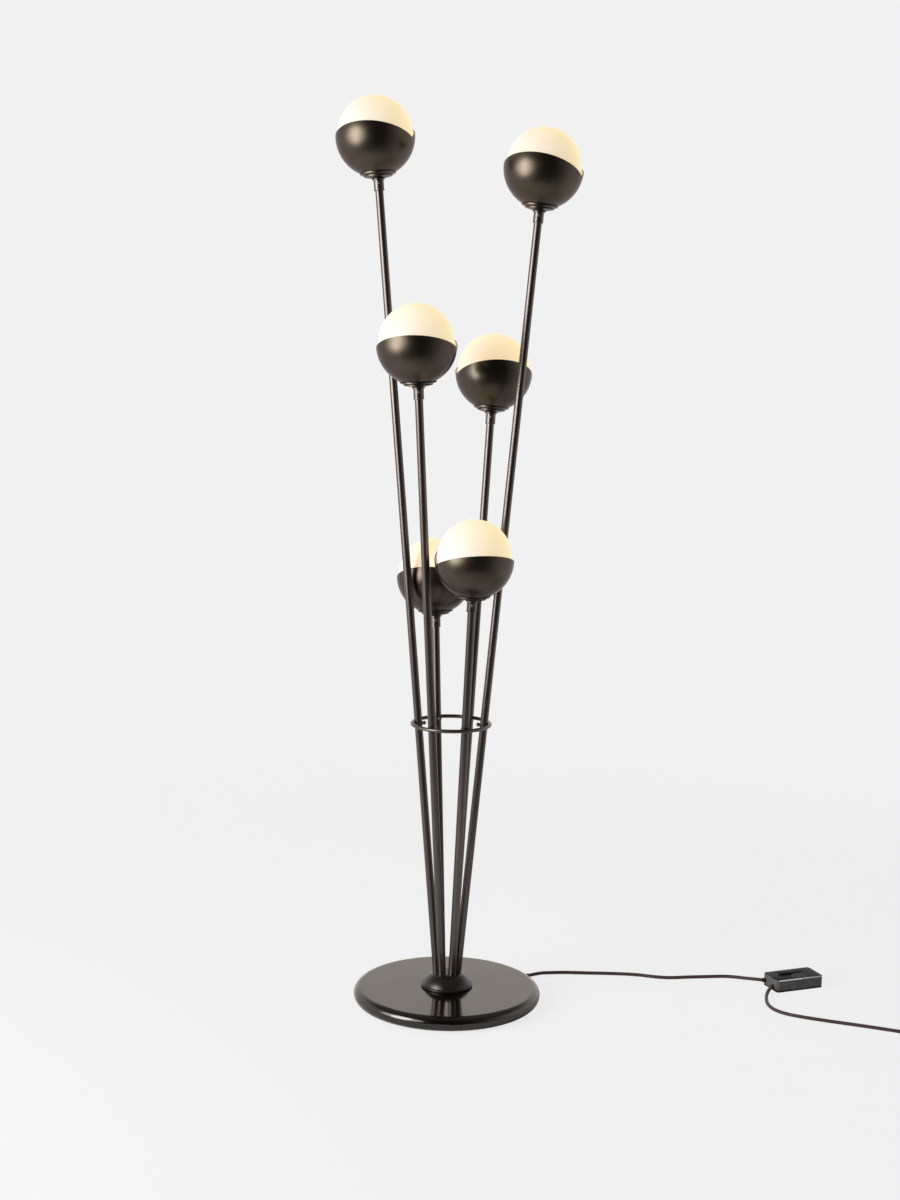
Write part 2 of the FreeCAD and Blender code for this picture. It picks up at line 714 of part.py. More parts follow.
slider = newBody("dimmer_slider", dimmerFrame)
sliderStart = "(grooveX - grooveLength / 2 + sliderEndGap)"
sliderUnder = f"({grooveFloor} + restGap)"
padded(slider, rectangle(sliderStart, f"{sliderStart} + sliderLength",
                         "grooveY - sliderWidth / 2", "grooveY + sliderWidth / 2"),
       "sliderHeight", sliderUnder)
neckStart = f"{sliderStart} + (sliderLength - sliderNeckLength) / 2"
padded(slider, rectangle(neckStart, f"{neckStart} + sliderNeckLength",
                         "grooveY - slotWidth / 2 + restGap", "grooveY + slotWidth / 2 - restGap"),
       f"{sliderUnder} - {potTop}", f"{potTop} + restGap")
# finger ribs across the slider's top
ribPitch = "(sliderLength / (sliderRibs + 1))"
furrowAt = f"{sliderStart} + {ribPitch}"
furrow = pocketed(slider, rectangle(f"{furrowAt} - furrowWidth / 2", f"{furrowAt} + furrowWidth / 2",
                                    "grooveY - sliderWidth", "grooveY + sliderWidth"),
                  "furrowDepth", f"{sliderUnder} + sliderHeight")
furrows = slider.newObject("PartDesign::LinearPattern", "Furrows")
furrows.Originals = [furrow]
furrows.Direction = (furrow.Profile[0], ["H_Axis"])
furrows.Mode = "Spacing"
bind(furrows, Offset=ribPitch, Occurrences="sliderRibs")
slider.Tip = furrows
keep(slider)


# ---- cords: straight runs joined by tangent arcs ----

radius = amount(cordRadius)
floorLine = radius + amount("slipGap")


def spoutTip(place):
    return place.multVec(Vector(0, 0, amount("spoutReach")))


bushTip = bushFrame.multVec(Vector(0, 0, amount("bushLength")))

lampRoute = [
    bushTip,
    bushFrame.multVec(Vector(0, 0, amount("bushLength + bushLeadStraight"))),
    Vector(178, 130.2, 3.6),
    Vector(203, 134.6, floorLine),
    Vector(240, 133.2, floorLine),
    Vector(284, 132.8, floorLine),
    Vector(327, 129.2, floorLine),
    Vector(355, 118.8, floorLine),
    Vector(382, 115.4, floorLine),
    Vector(411, 120.9, floorLine),
    Vector(446, 124.6, floorLine),
    Vector(478, 128.6, floorLine),
    Vector(498, 121.6, 3.8),
    Vector(512.6, 109.6, 6.2),
    lampSpout.multVec(Vector(0, 0, amount("spoutReach + lampLeadStraight"))),
    spoutTip(lampSpout),
]

plugRoute = [
    spoutTip(plugSpout),
    plugSpout.multVec(Vector(0, 0, amount("spoutReach + plugLeadStraight"))),
    Vector(533.2, 41.4, 3.6),
    Vector(529.2, 22, floorLine),
    Vector(526.9, 2, floorLine),
    Vector(528.8, -17.5, floorLine),
    Vector(536.6, -34.6, floorLine),
    Vector(550.4, -48, floorLine),
    Vector(573, -60.2, floorLine),
    Vector(611, -76, floorLine),
    Vector(650, -90, floorLine),
    Vector(694, -107.4, floorLine),
    Vector(730, -122.6, floorLine),
]


arcShare = 0.45  # of the shorter run beside a corner, the part that its arc takes


def roundedPath(points):
    edges = []
    radii = []
    reached = points[0]
    for before, corner, after in zip(points, points[1:], points[2:]):
        arriving = (corner - before).normalize()
        leaving = (after - corner).normalize()
        halfTurn = arriving.getAngle(leaving) / 2
        trim = arcShare * min(before.distanceToPoint(corner), corner.distanceToPoint(after))
        bend = trim / math.tan(halfTurn)
        inward = (leaving - arriving).normalize()
        start = corner - arriving * trim
        middle = corner + inward * (math.hypot(bend, trim) - bend)
        end = corner + leaving * trim
        edges.append(Part.LineSegment(reached, start).toShape())
        edges.append(Part.Arc(start, middle, end).toShape())
        radii.append(bend)
        reached = end
    edges.append(Part.LineSegment(reached, points[-1]).toShape())
    return Part.Wire(edges), radii


def tubeAlong(name, wire):
    first = wire.OrderedEdges[0]
    mouth = Part.Circle(first.valueAt(first.FirstParameter), first.tangentAt(first.FirstParameter), radius)
    tube = doc.addObject("Part::Feature", name)
    tube.Shape = wire.makePipeShell([Part.Wire(mouth.toShape())], True, False)
    wanted = math.pi * radius ** 2 * wire.Length
    print(f"{name}: length {wire.Length:.1f}, volume {tube.Shape.Volume:.0f} against {wanted:.0f}")
    return keep(tube, name)


# ---- coil: one tube that spirals in on the floor, climbs a layer and spirals out above ----

coilCentre = Vector(amount("coilX"), amount("coilY"), 0)
pitch = amount("coilPitch")
outerRadius = amount("coilOuterRadius")
innerRadius = outerRadius - pitch * amount("coilTurnsIn")
climbStart = 2 * math.pi * amount("coilTurnsIn")
climbEnd = climbStart + math.pi
coilEnd = climbEnd + 2 * math.pi * amount("coilTurnsOut")


def coilPoint(turned):
    rise = amount("coilRise")
    if turned < climbStart:
        reach, height = outerRadius - pitch * turned / (2 * math.pi), 0
    elif turned < climbEnd:
        share = (turned - climbStart) / math.pi
        reach = innerRadius - amount("coilClimbInset") * math.sin(math.pi * share)
        height = rise * (1 - math.cos(math.pi * share)) / 2
    else:
        reach, height = innerRadius + pitch * (turned - climbEnd) / (2 * math.pi), rise
    return coilCentre + polar(reach, amount("coilStart") + math.degrees(turned), floorLine + height)


def coilHeading(turned):
    step = 0.02
    return (coilPoint(min(turned + step, coilEnd)) - coilPoint(max(turned - step, 0))).normalize()


def biarc(start, startHeading, end, endHeading):
    # two arcs that meet with one tangent and leave both ends along their headings
    chord = end - start
    both = startHeading + endHeading
    a = both.dot(both) - 4
    b = -2 * chord.dot(both)
    reach = (-b - math.sqrt(b * b - 4 * a * chord.dot(chord))) / (2 * a)
    joint = (start + startHeading * reach + end - endHeading * reach) / 2
    middles = []
    for tip, heading in ((start, startHeading), (end, endHeading * -1)):
        span = joint - tip
        inward = (span - heading * span.dot(heading)).normalize()
        bend = span.dot(span) / (2 * span.dot(inward))
        centre = tip + inward * bend
        middles.append(centre + ((tip + joint) / 2 - centre).normalize() * bend)
    return [Part.Arc(start, middles[0], joint).toShape(), Part.Arc(joint, middles[1], end).toShape()]


quarters = math.ceil(coilEnd / (math.pi / 2))
stations = [coilEnd * i / quarters for i in range(quarters + 1)]
tail = amount("cordDiameter")
coilHead = coilPoint(0) - coilHeading(0) * tail
coilTail = coilPoint(coilEnd) + coilHeading(coilEnd) * tail
coilEdges = [Part.LineSegment(coilHead, coilPoint(0)).toShape()]
for here, there in zip(stations, stations[1:]):
    coilEdges += biarc(coilPoint(here), coilHeading(here), coilPoint(there), coilHeading(there))
coilEdges.append(Part.LineSegment(coilPoint(coilEnd), coilTail).toShape())
coilWire = Part.Wire(coilEdges)

plugRoute += [coilHead - coilHeading(0) * amount("coilLeadStraight"), coilHead]
for name, route in (("cord_to_dimmer", lampRoute), ("cord_to_plug", plugRoute)):
    wire, radii = roundedPath(route)
    tubeAlong(name, wire)
    print(f"{name}: arc radii", " ".join(f"{bend:.0f}" for bend in radii))
tubeAlong("cord_coil", coilWire)

# least gap between stretches of the coil that lie over two diameters apart along it
spacing = 1.5
samples = coilWire.discretize(Distance=spacing)
apart = int(2 * 2 * radius / spacing) + 1
closest = min(
    samples[i].distanceToPoint(samples[j])
    for i in range(len(samples)) for j in range(i + apart, len(samples)))
print(f"cord_coil: least gap to itself {closest - 2 * radius:.2f}")


# ---- plug on the coil's outer end ----

plugHeading = coilHeading(coilEnd)
plugFrame = along(coilTail, plugHeading)
bodyStart = "plugNeckLength"
plugNeck = revolved("plug_neck", [
    ("0", "0"),
    (f"{cordRadius} + plugNeckLip", "0"),
    ("plugNeckRadius", bodyStart),
    ("plugNeckRadius", f"{bodyStart} + plugNeckRoot"),
    ("0", f"{bodyStart} + plugNeckRoot"),
], plugFrame)
plugBlank = block("PlugBlank", "plugHeight", "plugWidth", "plugLength")
corner = Vector(-amount("plugHeight") / 2, -amount("plugWidth") / 2, amount(bodyStart))
plugBlank.Placement = plugFrame.multiply(Placement(corner, Rotation()))
plugGrip = doc.addObject("Part::Fillet", "PlugGrip")
plugGrip.Base = plugBlank
doc.recompute()
parallel, touching = 0.9, 0.1
longEdges = [i for i, edge in enumerate(plugBlank.Shape.Edges, start=1)
             if abs(edge.tangentAt(edge.FirstParameter).dot(plugHeading)) > parallel]
backFace = plugFrame.multVec(Vector(0, 0, amount(bodyStart)))
backEdges = [i for i, edge in enumerate(plugBlank.Shape.Edges, start=1)
             if all(abs((v.Point - backFace).dot(plugHeading)) < touching for v in edge.Vertexes)]
rounding = amount("plugRounding")
plugGrip.Edges = [(i, rounding, rounding) for i in longEdges + backEdges]
plugCore = together("PlugCore", [plugGrip, plugNeck])
bladeHoles = []
blades = []
for side in (-1, 1):
    for group, room in ((bladeHoles, "slipGap"), (blades, "0")):
        wide, thick = f"(bladeWidth + {room})", f"(bladeThickness + {room})"
        low = Vector(-amount(wide) / 2, amount(f"{side} * bladeSpacing / 2 - {thick} / 2"),
                     amount("plugNeckLength + plugLength - bladeRoot"))
        blade = block("Blade", wide, thick, "bladeLength + bladeRoot",
                      plugFrame.multiply(Placement(low, Rotation())))
        group.append(blade)
keep(cut("PlugBody", plugCore, bladeHoles), "plug_body")
keep(together("PlugBlades", blades, "Part::Compound"), "plug_blades")


# ---- check and write ----

doc.recompute()
for item in doc.Objects:
    if "Invalid" in item.State or "Error" in item.State:
        raise RuntimeError(f"{item.Label} failed: {item.State}")
for piece in finished:
    if piece.Shape.isNull() or not piece.Shape.isValid():
        raise RuntimeError(f"{piece.Label} has no valid shape")

os.makedirs("parts", exist_ok=True)
for piece in finished:
    piece.Shape.exportStep(f"parts/{piece.Label}.step")
print(f"{len(finished)} pieces written")
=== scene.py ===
import math

import bmesh
import bpy
from mathutils import Matrix, Vector


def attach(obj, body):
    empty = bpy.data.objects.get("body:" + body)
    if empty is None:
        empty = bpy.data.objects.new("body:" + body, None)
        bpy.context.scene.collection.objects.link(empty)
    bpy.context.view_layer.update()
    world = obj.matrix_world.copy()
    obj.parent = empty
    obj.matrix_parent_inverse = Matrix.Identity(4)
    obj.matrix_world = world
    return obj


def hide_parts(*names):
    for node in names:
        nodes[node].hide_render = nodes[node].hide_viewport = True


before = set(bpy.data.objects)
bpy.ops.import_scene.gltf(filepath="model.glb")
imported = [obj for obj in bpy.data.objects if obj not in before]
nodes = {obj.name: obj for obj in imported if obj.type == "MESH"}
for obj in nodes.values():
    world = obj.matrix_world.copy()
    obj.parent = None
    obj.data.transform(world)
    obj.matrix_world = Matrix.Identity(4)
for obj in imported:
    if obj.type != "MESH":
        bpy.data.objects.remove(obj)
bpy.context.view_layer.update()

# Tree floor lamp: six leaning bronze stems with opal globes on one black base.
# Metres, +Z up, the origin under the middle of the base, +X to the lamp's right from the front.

scene = bpy.context.scene
scene.view_settings.view_transform = "Standard"


# camera at the photograph's place

camera = {
    "place": (-0.0050, -2.7973, 1.0295),
    "pitchDown": 7.472,
    "roll": 0.933,
    "lens": 53.077,
    "sensor": 36.0,
}

pitch, roll = math.radians(camera["pitchDown"]), math.radians(camera["roll"])
ahead = Vector((0, math.cos(pitch), -math.sin(pitch)))
upright = Vector((0, math.sin(pitch), math.cos(pitch)))
across = Vector((1, 0, 0))
cameraRight = across * math.cos(roll) + upright * math.sin(roll)
cameraUp = upright * math.cos(roll) - across * math.sin(roll)
cameraObject = bpy.data.objects.new("camera", bpy.data.cameras.new("camera"))
cameraObject.data.lens = camera["lens"]
cameraObject.data.sensor_width = camera["sensor"]
cameraObject.matrix_world = Matrix.Translation(camera["place"]) @ Matrix(
    (cameraRight, cameraUp, -ahead)).transposed().to_4x4()
scene.collection.objects.link(cameraObject)
scene.camera = cameraObject
print("camera placed")


# small helpers for node trees

def reckoned(tree, operation, *values):
    # one step of arithmetic on sockets or numbers
    made = tree.nodes.new("ShaderNodeMath")
    made.operation = operation
    for socket, value in zip(made.inputs, values):
        if isinstance(value, float):
            socket.default_value = value
        else:
            tree.links.new(value, socket)
    return made.outputs["Value"]


def graded(tree, value, starts, ends, low=0.0, high=1.0):
    # a smooth change from low to high while the value goes from one end to the other
    made = tree.nodes.new("ShaderNodeMapRange")
    made.interpolation_type = "SMOOTHSTEP"
    for socket, number in zip(("From Min", "From Max", "To Min", "To Max"), (starts, ends, low, high)):
        made.inputs[socket].default_value = number
    tree.links.new(value, made.inputs["Value"])
    return made.outputs["Result"]


# materials: one recipe of mottled colour, uneven roughness and fine relief serves them all

def mottledMaterial(name, look):
    material = bpy.data.materials.new(name)
    material.use_nodes = True
    tree = material.node_tree
    shader = tree.nodes["Principled BSDF"]
    where = tree.nodes.new("ShaderNodeTexCoord").outputs["Object"]
    stretch = tree.nodes.new("ShaderNodeMapping")
    stretch.inputs["Scale"].default_value = look.get("stretch", (1, 1, 1))
    tree.links.new(where, stretch.inputs["Vector"])

    def noise(scale, detail=4.0):
        made = tree.nodes.new("ShaderNodeTexNoise")
        made.inputs["Scale"].default_value = scale
        made.inputs["Detail"].default_value = detail
        tree.links.new(stretch.outputs["Vector"], made.inputs["Vector"])
        return made.outputs["Fac"]

    colours = tree.nodes.new("ShaderNodeValToRGB")
    low, high = colours.color_ramp.elements
    low.position, high.position = look.get("edges", (0.35, 0.68))
    low.color, high.color = (*look["dark"], 1), (*look["light"], 1)
    tree.links.new(noise(look["mottle"]), colours.inputs["Fac"])
    tree.links.new(colours.outputs["Color"], shader.inputs["Base Color"])

    smooth, rough = look["roughness"]
    spread = tree.nodes.new("ShaderNodeMapRange")
    spread.inputs["To Min"].default_value = smooth
    spread.inputs["To Max"].default_value = rough
    tree.links.new(noise(look["mottle"] * 2.3, 6.0), spread.inputs["Value"])
    tree.links.new(spread.outputs["Result"], shader.inputs["Roughness"])

    relief = tree.nodes.new("ShaderNodeBump")
    relief.inputs["Distance"].default_value = look["relief"]
    relief.inputs["Strength"].default_value = 1.0
    tree.links.new(noise(look["grain"], 3.0), relief.inputs["Height"])
    tree.links.new(relief.outputs["Normal"], shader.inputs["Normal"])

    for socket, value in look.get("sockets", {}).items():
        shader.inputs[socket].default_value = value
    return material


baseEnamel = mottledMaterial("baseEnamel", {
    "dark": (0.033, 0.030, 0.027), "light": (0.043, 0.039, 0.035), "mottle": 9.0,
    "roughness": (0.12, 0.17), "grain": 420.0, "relief": 0.000004,
    "sockets": {"Metallic": 1.0, "Specular Tint": (0.86, 0.79, 0.70, 1),
                "Coat Weight": 0.6, "Coat Roughness": 0.11},
})
bronze = mottledMaterial("bronze", {
    "dark": (0.034, 0.023, 0.010), "light": (0.052, 0.036, 0.018), "mottle": 26.0,
    "roughness": (0.30, 0.36), "grain": 1500.0, "relief": 0.000003,
    "sockets": {"Metallic": 1.0, "Specular Tint": (0.40, 0.30, 0.18, 1),
                "Coat Weight": 0.7, "Coat Roughness": 0.30},
})
hubBronze = mottledMaterial("hubBronze", {
    "dark": (0.0080, 0.0062, 0.0048), "light": (0.0130, 0.0102, 0.0080), "mottle": 30.0,
    "roughness": (0.26, 0.32), "grain": 1500.0, "relief": 0.000003,
    "sockets": {"Specular IOR Level": 0.35, "Specular Tint": (1.0, 0.95, 0.88, 1)},
})
stemBronze = mottledMaterial("stemBronze", {
    "dark": (0.056, 0.043, 0.036), "light": (0.084, 0.066, 0.056), "mottle": 30.0,
    "stretch": (1, 1, 0.12), "roughness": (0.30, 0.34), "grain": 160.0, "relief": 0.0000003,
    "sockets": {"Metallic": 1.0, "Specular Tint": (0.60, 0.52, 0.46, 1),
                "Coat Weight": 0.8, "Coat Roughness": 0.28},
})
opalGlass = mottledMaterial("opalGlass", {
    "dark": (0.34, 0.335, 0.32), "light": (0.38, 0.375, 0.36), "mottle": 14.0,
    "roughness": (0.46, 0.56), "grain": 120.0, "relief": 0.00002,
    "sockets": {"Emission Strength": 1.0, "Specular IOR Level": 0.25},
})
# the lit bulb shows through as a glow, and its tint is painted light and shade: paler on the side towards
# the studio's lamp, stronger and warmer on the far upper side away from it
glowAndPaintedShade = {
    "pale": (0.54, 0.465, 0.355),
    "backPale": (0.74, 0.55, 0.34),  # painted shade: the two globes at the back glow yellower, as if the front globes shaded them from the studio's lamp
    "warm": (0.87, 0.69, 0.38),
    "towards": (0.74, 0.10, 0.66),
    "starts": -0.35,  # how far round from there the painted warm shade reaches
}


# painted light and shade: the glow's tint follows which way the surface faces, pale towards the studio's
# lamp and warm away from it
def tintGlowWithPaintedShade(material, pale, warm):
    tree = material.node_tree
    facing = tree.nodes.new("ShaderNodeVectorMath")
    facing.operation = "DOT_PRODUCT"
    facing.inputs[1].default_value = glowAndPaintedShade["towards"]
    tree.links.new(tree.nodes.new("ShaderNodeTexCoord").outputs["Normal"], facing.inputs[0])
    tint = tree.nodes.new("ShaderNodeValToRGB")
    tint.color_ramp.elements[0].color = (*pale, 1)
    tint.color_ramp.elements[1].color = (*warm, 1)
    tree.links.new(graded(tree, facing.outputs["Value"], glowAndPaintedShade["starts"], 1.0), tint.inputs["Fac"])
    tree.links.new(tint.outputs["Color"], tree.nodes["Principled BSDF"].inputs["Emission Color"])


# a copy of the glass for the back globes, with painted shade in its tint
shadedBackGlass = opalGlass.copy()
shadedBackGlass.name = "shadedBackGlass"
tintGlowWithPaintedShade(opalGlass, glowAndPaintedShade["pale"], glowAndPaintedShade["warm"])
tintGlowWithPaintedShade(shadedBackGlass, glowAndPaintedShade["backPale"], glowAndPaintedShade["warm"])
felt = mottledMaterial("felt", {
    "dark": (0.012, 0.012, 0.013), "light": (0.030, 0.030, 0.032), "mottle": 260.0,
    "roughness": (0.9, 1.0), "grain": 2600.0, "relief": 0.0003,
    "sockets": {"Sheen Weight": 0.4},
})
steelScrews = mottledMaterial("steelScrews", {
    "dark": (0.36, 0.35, 0.34), "light": (0.50, 0.49, 0.47), "mottle": 90.0,
    "roughness": (0.28, 0.42), "grain": 1600.0, "relief": 0.00002,
    "sockets": {"Metallic": 1.0},
})
porcelain = mottledMaterial("porcelain", {
    "dark": (0.72, 0.70, 0.66), "light": (0.80, 0.79, 0.76), "mottle": 40.0,
    "roughness": (0.12, 0.22), "grain": 300.0, "relief": 0.00004,
    "sockets": {"Coat Weight": 0.4, "Coat Roughness": 0.06},
})
# painted light: the cup's inside is pale as if lit by the glowing globe
paintedGlowLining = mottledMaterial("paintedGlowLining", {
    "dark": (0.70, 0.67, 0.60), "light": (0.78, 0.75, 0.68), "mottle": 60.0,
    "roughness": (0.30, 0.42), "grain": 1200.0, "relief": 0.00001,
})
bulbGlass = mottledMaterial("bulbGlass", {
    "dark": (0.86, 0.82, 0.74), "light": (0.92, 0.89, 0.82), "mottle": 60.0,
    "roughness": (0.30, 0.42), "grain": 900.0, "relief": 0.00002,
    "sockets": {"Emission Color": (1.0, 0.72, 0.36, 1), "Emission Strength": 1.6},
})
brass = mottledMaterial("brass", {
    "dark": (0.52, 0.37, 0.15), "light": (0.70, 0.52, 0.24), "mottle": 120.0,
    "roughness": (0.22, 0.36), "grain": 1900.0, "relief": 0.00002,
    "sockets": {"Metallic": 1.0},
})
blackPlastic = mottledMaterial("blackPlastic", {
    "dark": (0.0100, 0.0097, 0.0095), "light": (0.0165, 0.0160, 0.0156), "mottle": 70.0,
    "roughness": (0.42, 0.52), "grain": 1700.0, "relief": 0.00003,
    "sockets": {"Specular IOR Level": 0.08},
})
paintedLitSides = mottledMaterial("paintedLitSides", {  # painted light: a paler, duller copy of the black plastic for the dimmer's upright sides, so that they look more lit than its top
    "dark": (0.085, 0.082, 0.080), "light": (0.115, 0.111, 0.108), "mottle": 70.0,
    "roughness": (0.55, 0.68), "grain": 1700.0, "relief": 0.00003,
    "sockets": {"Specular IOR Level": 0.15},
})
# painted highlight: a pale strip standing for the glint along the dimmer's front top edge
paintedHighlight = mottledMaterial("paintedHighlight", {
    "dark": (0.80, 0.79, 0.77), "light": (0.90, 0.89, 0.87), "mottle": 120.0,
    "roughness": (0.20, 0.30), "grain": 1500.0, "relief": 0.00001,
})
blackRubber = mottledMaterial("blackRubber", {
    "dark": (0.014, 0.013, 0.013), "light": (0.024, 0.023, 0.022), "mottle": 90.0,
    "roughness": (0.46, 0.60), "grain": 1500.0, "relief": 0.00005,
})
circuitBoard = mottledMaterial("circuitBoard", {
    "dark": (0.010, 0.060, 0.022), "light": (0.022, 0.105, 0.042), "mottle": 320.0,
    "roughness": (0.32, 0.5), "grain": 900.0, "relief": 0.0001, "edges": (0.47, 0.53),
})
wireSheath = mottledMaterial("wireSheath", {
    "dark": (0.030, 0.028, 0.027), "light": (0.060, 0.056, 0.052), "mottle": 200.0,
    "roughness": (0.35, 0.5), "grain": 1400.0, "relief": 0.00003,
})


def dress(material, *names):
    # a solid that keeps its own shape gets its finish
    for name in names:
        if not nodes[name].material_slots:
            nodes[name].data.materials.append(material)
        for slot in nodes[name].material_slots:
            slot.material = material


heads = {  # place in the ring, height of the cup's centre, and the way its front petal looks
    "tall_right": {"turn": 0, "height": 1.3360, "front": -109.0},
    "mid_back": {"turn": 1, "height": 1.0235, "front": -75.5},
    "low_back": {"turn": 2, "height": 0.6930, "front": -103.0},
    "tall_left": {"turn": 3, "height": 1.3835, "front": -112.0},
    "mid_front": {"turn": 4, "height": 1.0640, "front": -98.0},
    "low_front": {"turn": 5, "height": 0.7355, "front": -74.0},
}
lean = {"foot": 0.0127, "outward": 0.086, "sideways": -0.0145, "start": 2.5, "step": 60.0}


def around(radius, degrees, height=0.0):
    angle = math.radians(degrees)
    return Vector((radius * math.cos(angle), radius * math.sin(angle), height))


def stemPoint(head, height):
    azimuth = lean["start"] + lean["step"] * heads[head]["turn"]
    return (around(lean["foot"] + lean["outward"] * height, azimuth)
            + around(lean["sideways"] * height, azimuth + 90) + Vector((0, 0, height)))


def headFrame(head):
    # origin at the cup's centre, Z along the stem, Y towards the front petal
    centre = stemPoint(head, heads[head]["height"])
    up = (centre - stemPoint(head, 0)).normalized()
    side = around(1, heads[head]["front"]).cross(up).normalized()
    return Matrix.Translation(centre) @ Matrix((side, up.cross(side), up)).transposed().to_4x4()


def piece(name, points, faces, material, body, uv=None, sharpAngle=35.0):
    # a smooth mesh of the scene's own, riding on a body
    mesh = bpy.data.meshes.new(name)
    mesh.from_pydata([tuple(p) for p in points], [], faces)
    mesh.shade_smooth()
    mesh.set_sharp_from_angle(angle=math.radians(sharpAngle))
    if uv:
        layer = mesh.uv_layers.new(name="UVMap")
        for loop in mesh.loops:
            layer.data[loop.index].uv = uv[loop.vertex_index]
    mesh.materials.append(material)
    made = bpy.data.objects.new(name, mesh)
    scene.collection.objects.link(made)
    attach(made, body)
    return made


# cords: each follows a NURBS spline through the same points as the solid one

cord = {
    "diameter": 0.0058,
    "floor": 0.0030,
    "braidSides": 24,
    "braidStep": 0.0011,
    "braidRelief": 0.00016,
    "strands": 8,
    "lay": 0.011,  # one turn of a braid strand
}
coil = {
    "middle": Vector((0.7897, -0.0932, 0)),
    "start": -100.0,
    "outer": 0.0445,
    "turnsIn": 3.75,
    "turnsOut": 4.028,
    "pitch": 0.0064,
    "rise": 0.0063,
    "climbInset": 0.0013,
    "pointsPerTurn": 16,
}
z = cord["floor"]
toDimmer = [
    (0.1397, 0.1045, 0.0070), (0.1573, 0.1177, 0.0070), (0.1780, 0.1302, 0.0036), (0.2030, 0.1346, z),
    (0.2400, 0.1332, z), (0.2840, 0.1328, z), (0.3270, 0.1292, z), (0.3550, 0.1188, z),
    (0.3820, 0.1154, z), (0.4110, 0.1209, z), (0.4460, 0.1246, z), (0.4780, 0.1286, z),
    (0.4980, 0.1216, 0.0038), (0.5126, 0.1096, 0.0062), (0.5214, 0.0997, 0.0090), (0.5348, 0.0956, 0.0090),
]
toPlug = [
    (0.5458, 0.0671, 0.0063), (0.5401, 0.0576, 0.0063), (0.5332, 0.0414, 0.0036), (0.5292, 0.0220, z),
    (0.5269, 0.0020, z), (0.5288, -0.0175, z), (0.5366, -0.0346, z), (0.5504, -0.0480, z),
    (0.5730, -0.0602, z), (0.6110, -0.0760, z), (0.6500, -0.0900, z), (0.6940, -0.1074, z),
    (0.7300, -0.1226, z),
]
innerRadius = coil["outer"] - coil["pitch"] * coil["turnsIn"]
climbStart = 360 * coil["turnsIn"]
climbEnd = climbStart + 180
coilEnd = climbEnd + 360 * coil["turnsOut"]


def coilPoint(turned):
    # in on the floor, up a layer within half a turn, and out again above
    if turned < climbStart:
        reach, height = coil["outer"] - coil["pitch"] * turned / 360, 0
    elif turned < climbEnd:
        share = (turned - climbStart) / 180 * math.pi
        reach = innerRadius - coil["climbInset"] * math.sin(share)
        height = coil["rise"] * (1 - math.cos(share)) / 2
    else:
        reach, height = innerRadius + coil["pitch"] * (turned - climbEnd) / 360, coil["rise"]
    return coil["middle"] + around(reach, coil["start"] + turned, z + height)


def coilHeading(turned):
    return (coilPoint(min(turned + 1, coilEnd)) - coilPoint(max(turned - 1, 0))).normalized()


coilSteps = math.ceil(coilEnd / 360 * coil["pointsPerTurn"])
halfStep = math.radians(coilEnd / coilSteps / 2)
coilHead = coilPoint(0) - coilHeading(0) * cord["diameter"]
toPlug += [coilHead - coilHeading(0) * 0.016, coilHead]
for step in range(coilSteps + 1):
    onCoil = coilPoint(coilEnd * step / coilSteps)
    control = onCoil.copy()
    if 0 < step < coilSteps:
        # control points stand a little outside the turns that their spline makes
        control = coil["middle"] + (onCoil - coil["middle"]) / math.cos(halfStep)
        control.z = onCoil.z
    toPlug.append(control)
toPlug.append(coilPoint(coilEnd) + coilHeading(coilEnd) * cord["diameter"])


def smoothLine(name, points):
    # the spline's own line, as evenly spaced points
    curve = bpy.data.curves.new(name, "CURVE")
    curve.dimensions = "3D"
    curve.resolution_u = 12
    spline = curve.splines.new("NURBS")
    spline.points.add(len(points) - 1)
    for control, point in zip(spline.points, points):
        control.co = (*point, 1)
    spline.order_u = 3
    spline.use_endpoint_u = True
    bare = bpy.data.objects.new(name, curve)
    mesh = bpy.data.meshes.new_from_object(bare)
    line = [v.co.copy() for v in mesh.vertices]
    bpy.data.objects.remove(bare)
    return line


def evenly(line, step):
    # the same line with points one step apart
    kept, carried = [line[0]], 0.0
    for a, b in zip(line, line[1:]):
        length = (b - a).length
        while carried + length >= step:
            share = (step - carried) / length
            a = a.lerp(b, share)
            kept.append(a)
            length = (b - a).length
            carried = 0.0
        carried += length
    kept.append(line[-1])
    return kept


def braidedTube(name, line, material, body):
    # a fabric-covered cord: raised strands that cross over and under each other round a tube
    rings = evenly(line, cord["braidStep"])
    sides, radius = cord["braidSides"], cord["diameter"] / 2
    points, uv, faces = [], [], []
    normal = Vector((0, 0, 1))
    gone = 0.0
    for i, centre in enumerate(rings):
        before, after = rings[max(i - 1, 0)], rings[min(i + 1, len(rings) - 1)]
        heading = (after - before).normalized()
        normal = (normal - heading * normal.dot(heading)).normalized()
        other = heading.cross(normal)
        gone += (centre - rings[max(i - 1, 0)]).length
        for side in range(sides + 1):
            share = side / sides
            angle = 2 * math.pi * share
            twist = 2 * math.pi * gone / cord["lay"]
            strand = angle * cord["strands"] / 2
            weave = math.sin(strand + twist) * math.sin(strand - twist)
            reach = radius - cord["braidRelief"] * (0.5 - 0.5 * weave)
            points.append(centre + (normal * math.cos(angle) + other * math.sin(angle)) * reach)
            uv.append((share, gone / (2 * math.pi * radius)))
    width = sides + 1
    for i in range(len(rings) - 1):
        for side in range(sides):
            a = i * width + side
            faces.append((a, a + 1, a + 1 + width, a + width))
    faces.append(tuple(reversed(range(sides))))
    faces.append(tuple((len(rings) - 1) * width + side for side in range(sides)))
    return piece(name, points, faces, material, body, uv, 80.0), rings


